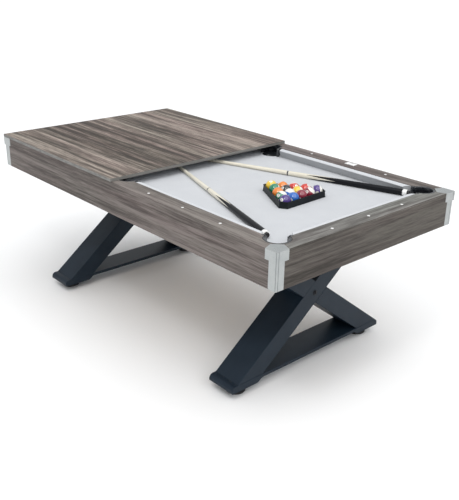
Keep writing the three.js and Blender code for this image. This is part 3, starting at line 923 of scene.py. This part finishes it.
def horseshoe(centre, outward, ear_angle):
    """The rim from above, counter-clockwise: outer arc, ear, inner arc back, ear."""
    # Where an ear's circle meets the outer arc: the angle at the ear, and at the pocket's centre.
    cosine = (EAR_REACH ** 2 + EAR_RADIUS ** 2 - POCKET_OUTER ** 2) / (2 * EAR_REACH * EAR_RADIUS)
    meet = math.acos(cosine)
    swing = math.asin(EAR_RADIUS * math.sin(meet) / POCKET_OUTER)
    shares = [2 * i / ARC_STEPS - 1 for i in range(ARC_STEPS + 1)]
    turns = [meet + (2 * math.pi - meet) * i / EAR_STEPS for i in range(1, EAR_STEPS)]
    reach = ear_angle - swing
    points = [polar(centre, POCKET_OUTER, outward + share * reach) for share in shares]
    ear = polar(centre, EAR_REACH, outward + ear_angle)
    points += [polar(ear, EAR_RADIUS, outward + ear_angle + math.pi + turn) for turn in turns]
    points += [polar(centre, POCKET_INNER, outward - share * ear_angle) for share in shares]
    ear = polar(centre, EAR_REACH, outward - ear_angle)
    turns.reverse()
    points += [polar(ear, EAR_RADIUS, outward - ear_angle + math.pi - turn) for turn in turns]
    return points


def add_pocket(node, outward, ear_angle):
    """A rounded horseshoe rim over a drop cup whose floor curves up into its wall."""
    centre = pocket_centre(node)
    low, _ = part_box(node)
    bm = bmesh.new()
    base = CLOTH_TOP + 0.3 * MM
    outline = horseshoe(centre, math.radians(outward), math.radians(ear_angle))
    stack(bm, outline, [(0, base), *round_top(RAIL_TOP - 0.2 * MM, 3.2 * MM, 5)])
    cup_top = base - 1.5 * MM
    outside = rounded([(0, low.z), (CUP_OUTER, low.z), (CUP_OUTER, cup_top)], 12 * MM, 6)
    inside_radius = POCKET_INNER + 0.2 * MM
    floor = low.z + 3 * MM
    inside = rounded([(0, floor), (inside_radius, floor), (inside_radius, cup_top)], 10 * MM, 6)
    lathe(bm, outside + list(reversed(inside)), 56, centre)
    bmesh.ops.recalc_face_normals(bm, faces=bm.faces)
    piece = finished_piece(f"{node}_finished", bm)
    piece.data.materials.append(pocket_black)
    stand_for(piece, node)


for node, (outward, ear_angle) in POCKETS.items():
    add_pocket(node, outward, ear_angle)


# ---------- leg frames ----------
FOLD_RADIUS = 2.6 * MM
BROAD_FACE = 0.0022  # square metres: larger faces are the beams' folded sides
CUT_EDGE = 0.3 * MM
CROSSING_HEIGHT = 0.370


def fold_edges(bm):
    """Rounds the long outer folds of a sheet-metal beam, and not its cut ends."""
    folds = [
        edge for edge in bm.edges
        if len(edge.link_faces) == 2
        and edge.is_convex
        and edge.calc_face_angle() > SHARP
        and min(face.calc_area() for face in edge.link_faces) > BROAD_FACE
    ]
    bmesh.ops.bevel(
        bm, geom=folds, offset=FOLD_RADIUS, segments=4, profile=0.5,
        affect="EDGES", offset_type="OFFSET", clamp_overlap=True,
    )


for end, _ in ENDS:
    for part in ("leg_beam", "leg_upper_arm", "leg_lower_arm", "floor_bar"):
        refined(f"{part}_{end}", leg_coat, CUT_EDGE, 1, fold_edges)


def frame_bolt(bm, centre, sign):
    """A button-head bolt with a round socket, on a flat washer, that faces along X."""
    turned = bmesh.new()
    washer = rounded([(0, 0), (13 * MM, 0), (13 * MM, 1.6 * MM), (8 * MM, 1.6 * MM)], 0.4 * MM, 2)
    dome = [(8 * MM, 1.6 * MM), (8 * MM, 3 * MM), (5 * MM, 6 * MM), (3.6 * MM, 6.2 * MM)]
    socket = [(3.4 * MM, 6 * MM), (3.4 * MM, 2.6 * MM), (0, 2.2 * MM)]
    lathe(turned, washer + rounded(dome, 1 * MM, 3)[1:] + socket, 24)
    turned.transform(Matrix.Translation(centre) @ Matrix.Rotation(sign * math.pi / 2, 4, "Y"))
    merge(bm, turned)


for end, _ in ENDS:
    bm = bmesh.new()
    low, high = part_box(f"leg_beam_{end}")
    frame_bolt(bm, (high.x, 0, CROSSING_HEIGHT), 1)
    frame_bolt(bm, (low.x, 0, CROSSING_HEIGHT), -1)
    bmesh.ops.recalc_face_normals(bm, faces=bm.faces)
    add_detail(finished_piece(f"frame_bolts_{end}", bm), "table", dark_zinc)


# ---------- levelling feet ----------
THREAD_PITCH = 1.5 * MM
THREAD_TURNS = 14


def add_leveller(node):
    """A rubber disc that narrows to a neck, and a threaded stem."""
    low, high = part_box(node)
    radius = (high.x - low.x) / 2
    disc = [(0, 0), (radius - 3 * MM, 0), (radius, 3 * MM), (radius, 9 * MM)]
    disc += [(radius - 6 * MM, 13 * MM), (20 * MM, 16 * MM), (14 * MM, 19 * MM)]
    neck = high.z - 24 * MM
    body = rounded(disc, 2.5 * MM, 4) + [(13.5 * MM, neck), (8 * MM, neck + 0.3 * MM)]
    thread = []
    for turn in range(THREAD_TURNS):
        start = neck + 1 * MM + turn * THREAD_PITCH
        thread += [(7.2 * MM, start), (8 * MM, start + THREAD_PITCH / 2)]
    bm = bmesh.new()
    lathe(bm, body + thread + [(6.5 * MM, high.z), (0, high.z)], 60, middle_of(node))
    bmesh.ops.recalc_face_normals(bm, faces=bm.faces)
    piece = finished_piece(f"{node}_finished", bm)
    piece.data.materials.append(foot_black)
    stand_for(piece, node)


for end, _ in ENDS:
    for side, _ in SIDES:
        add_leveller(f"leveller_{side}_{end}")


# ---------- balls ----------
BALL_RADIUS = 26.2 * MM
SPOT_RADIUS = 7.9 * MM
STRIPE_HALF_WIDTH = 14.2 * MM
DIGIT_HEIGHT = 10.6 * MM
DIGIT_THICKNESS = 0.1 * MM
DIGIT_LIFT = 0.02 * MM
DIGIT_MERGE = 0.005 * MM
DIGIT_EDGE = 1.4 * MM  # longer edges are split, so that a digit can follow the ball
BALL_COLOURS = [
    (0.9, 0.6, 0.05),  # yellow
    (0.015, 0.13, 0.5),  # blue
    (0.62, 0.035, 0.02),  # red
    (0.07, 0.03, 0.22),  # purple
    (0.85, 0.24, 0.03),  # orange
    (0.01, 0.22, 0.11),  # green
    (0.25, 0.012, 0.035),  # maroon
    (0.008, 0.008, 0.009),  # black
]
# Where each ball's number faces: (azimuth, elevation, roll about the number) in degrees.
BALL_TURNS = {
    1: (-60, 70, 10), 2: (-70, -5, 30), 3: (20, 55, 60), 4: (-85, 20, 0), 5: (-80, -30, 20),
    6: (30, 35, 10), 7: (-60, -20, 45), 8: (-100, 35, 0), 9: (-30, -15, 20), 10: (-95, 5, 90),
    11: (-10, 40, 70), 12: (-45, -5, 10), 13: (60, 30, 35), 14: (-85, 25, 80), 15: (-80, 25, 60),
}


def glyph_mesh(number):
    """The ball's number as a thin closed mesh, flat in XY and centred on the origin."""
    curve = bpy.data.curves.new("glyph", "FONT")
    curve.body = str(number)
    curve.size = DIGIT_HEIGHT
    curve.align_x = "CENTER"
    curve.align_y = "CENTER"
    curve.extrude = DIGIT_THICKNESS
    curve.resolution_u = 3
    text = bpy.data.objects.new("glyph", curve)
    mesh = bpy.data.meshes.new_from_object(text)
    bpy.data.objects.remove(text)
    bpy.data.curves.remove(curve)
    return mesh


def add_numbers(bm, number):
    """Wraps the number on to both spots of the ball."""
    for side in (1, -1):
        part = bmesh.new()
        mesh = glyph_mesh(number)
        part.from_mesh(mesh)
        bpy.data.meshes.remove(mesh)
        bmesh.ops.remove_doubles(part, verts=part.verts, dist=DIGIT_MERGE)
        bmesh.ops.triangulate(part, faces=part.faces)
        for _ in range(2):
            long_edges = [edge for edge in part.edges if edge.calc_length() > DIGIT_EDGE]
            bmesh.ops.subdivide_edges(part, edges=long_edges, cuts=1)
            bmesh.ops.triangulate(part, faces=part.faces)
        for vert in part.verts:
            lift = BALL_RADIUS + DIGIT_LIFT + vert.co.z
            flat = Vector((vert.co.x, vert.co.y, 0))
            angle = flat.length / BALL_RADIUS
            away = flat.normalized() if flat.length > 0 else Vector((1, 0, 0))
            point = lift * (math.sin(angle) * away + math.cos(angle) * Z_AXIS)
            vert.co = point if side > 0 else Vector((point.x, -point.y, -point.z))
        for face in part.faces:
            face.material_index = 1
        merge(bm, part)


def add_ball(number):
    """A ball with its number on both spots: plain up to 8, striped above."""
    node = f"ball_{number:02d}"
    colour = BALL_COLOURS[(number - 1) % len(BALL_COLOURS)]
    bm = bmesh.new()
    bmesh.ops.create_uvsphere(bm, u_segments=40, v_segments=24, radius=BALL_RADIUS)
    add_numbers(bm, number)
    piece = finished_piece(f"{node}_finished", bm)
    piece.data.materials.append(ball_resin(number, colour, number > len(BALL_COLOURS)))
    piece.data.materials.append(number_ink)
    azimuth, elevation, roll = (math.radians(angle) for angle in BALL_TURNS[number])
    facing = Vector((
        math.cos(elevation) * math.cos(azimuth),
        math.cos(elevation) * math.sin(azimuth),
        math.sin(elevation),
    ))
    turn = facing.to_track_quat("Z", "Y").to_matrix().to_4x4() @ Matrix.Rotation(roll, 4, "Z")
    piece.matrix_world = Matrix.Translation(middle_of(node)) @ turn
    stand_for(piece, node)


number_ink = moulded_plastic(
    "number_ink", (0.008, 0.008, 0.009), (0.012, 0.012, 0.013), 0.12, 0.2,
)
for number in range(1, 16):
    add_ball(number)


# ---------- rack ----------
# The ball in each corner, apex first, and the way that the side before it faces, in degrees.
RACK_CORNERS = {1: 120, 4: 240, 12: 0}
RACK_CLEARANCE = 2.6 * MM


def rack_ring(bm, corners, reach, height):
    """A triangle with its corners cut straight, all sides reach away from three corner points."""
    out = reach / math.cos(math.radians(30))
    points = []
    for middle, start in corners:
        for angle in (start + 30, start + 90):
            points.append((*polar(middle, out, math.radians(angle)), height))
    return ring(bm, points)


def add_rack():
    """A moulded triangle: a thin wall with a rolled rim and a small flange at its foot."""
    middles = [middle_of(f"ball_{number:02d}") for number in RACK_CORNERS]
    base = middles[2] - middles[1]
    turned = math.degrees(math.atan2(-base.x, base.y))
    corners = [
        (middle, start + turned) for middle, start in zip(middles, RACK_CORNERS.values())
    ]
    low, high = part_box("triangle_rack")
    inner = BALL_RADIUS + RACK_CLEARANCE
    wall = [
        (inner, low.z), (inner + 6 * MM, low.z), (inner + 6 * MM, low.z + 2.4 * MM),
        (inner + 4.4 * MM, low.z + 6 * MM), (inner + 3 * MM, high.z - 4.5 * MM),
        (inner + 4.6 * MM, high.z - 3 * MM), (inner + 4.4 * MM, high.z), (inner + 0.2 * MM, high.z),
        (inner + 0.2 * MM, high.z - 3 * MM), (inner + 0.8 * MM, high.z - 5 * MM),
    ]
    profile = rounded(wall, 1.2 * MM, 3, closed=True)
    bm = bmesh.new()
    rings = [rack_ring(bm, corners, reach, height) for reach, height in profile]
    skin_all(bm, rings + rings[:1])
    bmesh.ops.recalc_face_normals(bm, faces=bm.faces)
    piece = finished_piece("triangle_rack_finished", bm)
    piece.data.materials.append(rack_black)
    round_edges(piece, 0.3 * MM, 1)
    stand_for(piece, "triangle_rack")


add_rack()


# ---------- cues ----------
CUE_LENGTH = 1.219
CUE_TIP_RADIUS = 6.5 * MM
CUE_BUTT_RADIUS = 15 * MM
# Distances from the tip.
JOINT_AT = CUE_LENGTH - 0.61
SPLICE_START = CUE_LENGTH - 0.52
SPLICE_END = CUE_LENGTH - 0.36
CUE_TAPER = [
    (0, CUE_TIP_RADIUS), (0.026, 6.9 * MM), (0.4, 9.5 * MM), (JOINT_AT, 11 * MM),
    (0.735, 11.9 * MM), (1.11, 14.5 * MM), (1.18, CUE_BUTT_RADIUS),
]
SPLICE_POINTS = 4
CUE_SEGMENTS = 40
CUE_TURN = 18.6  # degrees from the table's length
maple = cue_finish("cue_maple", (0.68, 0.63, 0.5), (0.82, 0.78, 0.67), 0.3)
black_lacquer = cue_finish(
    "cue_black_lacquer", (0.004, 0.004, 0.006), (0.007, 0.008, 0.011), 0.3,
    coat=0.05, specular=0.18,
)
ferrule = cue_finish("cue_ferrule", (0.82, 0.82, 0.8), (0.88, 0.88, 0.86), 0.25)
leather = cue_finish("cue_leather_tip", (0.03, 0.06, 0.12), (0.05, 0.09, 0.16), 0.85)
bumper = moulded_plastic("cue_bumper", (0.012, 0.012, 0.013), (0.02, 0.02, 0.021), 0.5, 0.65)
CUE_FINISHES = [leather, ferrule, maple, black_lacquer, zinc, bumper]
LEATHER, FERRULE, MAPLE, LACQUER, METAL, RUBBER = range(6)
# The white cap and the smaller bumper in it: (distance from the end, inset, finish), in mm.
CUE_END = [
    (32, 0, METAL), (30, 0, FERRULE), (13, 0, FERRULE), (12, 1, FERRULE), (12, 4, RUBBER),
    (2.5, 4.5, RUBBER), (0.7, 5.5, RUBBER), (0, 7.5, RUBBER),
]


def cue_radius(at):
    """The cue's taper, which eases into the butt."""
    for (start, first), (end, second) in zip(CUE_TAPER, CUE_TAPER[1:]):
        if at <= end:
            return first + (second - first) * (at - start) / (end - start)
    return CUE_BUTT_RADIUS


def cue_stations():
    """(distance from the tip, radius, zigzag depth, finish of the band that follows)."""
    rows = [(0, 0, 0, LEATHER), (0.6 * MM, 4 * MM, 0, LEATHER)]
    rows += [(2 * MM, CUE_TIP_RADIUS - 0.4 * MM, 0, LEATHER), (9 * MM, CUE_TIP_RADIUS, 0, FERRULE)]
    rows += [(at, cue_radius(at), 0, MAPLE) for at in (0.028, 0.2, 0.4)]
    for start, end, finish in ((-4, -2.5, METAL), (-2.5, 2.5, LACQUER), (2.5, 4, METAL)):
        rows.append((JOINT_AT + start * MM, cue_radius(JOINT_AT), 0, finish))
        rows.append((JOINT_AT + end * MM - 0.1 * MM, cue_radius(JOINT_AT), 0, finish))
    rows.append((JOINT_AT + 4.2 * MM, cue_radius(JOINT_AT), 0, MAPLE))
    rows.append((SPLICE_START - 0.02, cue_radius(SPLICE_START), 0, MAPLE))
    rows.append((SPLICE_START, cue_radius(SPLICE_START), 1, LACQUER))
    rows.append((SPLICE_START + 2 * MM, cue_radius(SPLICE_START), 1, MAPLE))
    rows.append((SPLICE_START + 5 * MM, cue_radius(SPLICE_START), 1, LACQUER))
    rows.append((SPLICE_END + 0.03, cue_radius(SPLICE_END), 0, LACQUER))
    rows += [(at, cue_radius(at), 0, LACQUER) for at in (0.95, 1.11, 1.15)]
    for at, inset, finish in CUE_END:
        rows.append((CUE_LENGTH - at * MM, CUE_BUTT_RADIUS - inset * MM, 0, finish))
    return rows + [(CUE_LENGTH, 0, 0, RUBBER)]


def add_cue(node, joint, heading):
    """Turns the cue along its own Z from the tip, with pointed splices, and lays it on the bed."""
    bm = bmesh.new()
    rings = []
    finishes = []
    for at, radius, zigzag, finish in cue_stations():
        row = []
        for i in range(CUE_SEGMENTS if radius else 1):
            turn = i / CUE_SEGMENTS
            wave = abs(turn * SPLICE_POINTS % 1 - 0.5) * 2
            reach = at + zigzag * wave * (SPLICE_END - SPLICE_START)
            row.append((*polar((0, 0), radius, 2 * math.pi * turn), reach))
        rings.append(ring(bm, row))
        finishes.append(finish)
    for first, second, finish in zip(rings, rings[1:], finishes):
        before = set(bm.faces)
        skin(bm, first, second)
        for face in set(bm.faces) - before:
            face.material_index = finish
    bmesh.ops.recalc_face_normals(bm, faces=bm.faces)
    piece = finished_piece(f"{node}_finished", bm)
    for finish in CUE_FINISHES:
        piece.data.materials.append(finish)
    slope = math.asin((CUE_BUTT_RADIUS - CUE_TIP_RADIUS) / CUE_LENGTH)
    heading_turn = Matrix.Rotation(math.radians(heading), 4, "Z")
    laid = heading_turn @ Matrix.Rotation(math.pi / 2 - slope, 4, "Y")
    piece.matrix_world = Matrix.Translation(JOINTS[joint]["pos_m"]) @ laid
    stand_for(piece, node)


add_cue("cue_front", "front_cue_roll", -CUE_TURN)
add_cue("cue_back", "back_cue_roll", CUE_TURN)

add_camera()
add_studio()
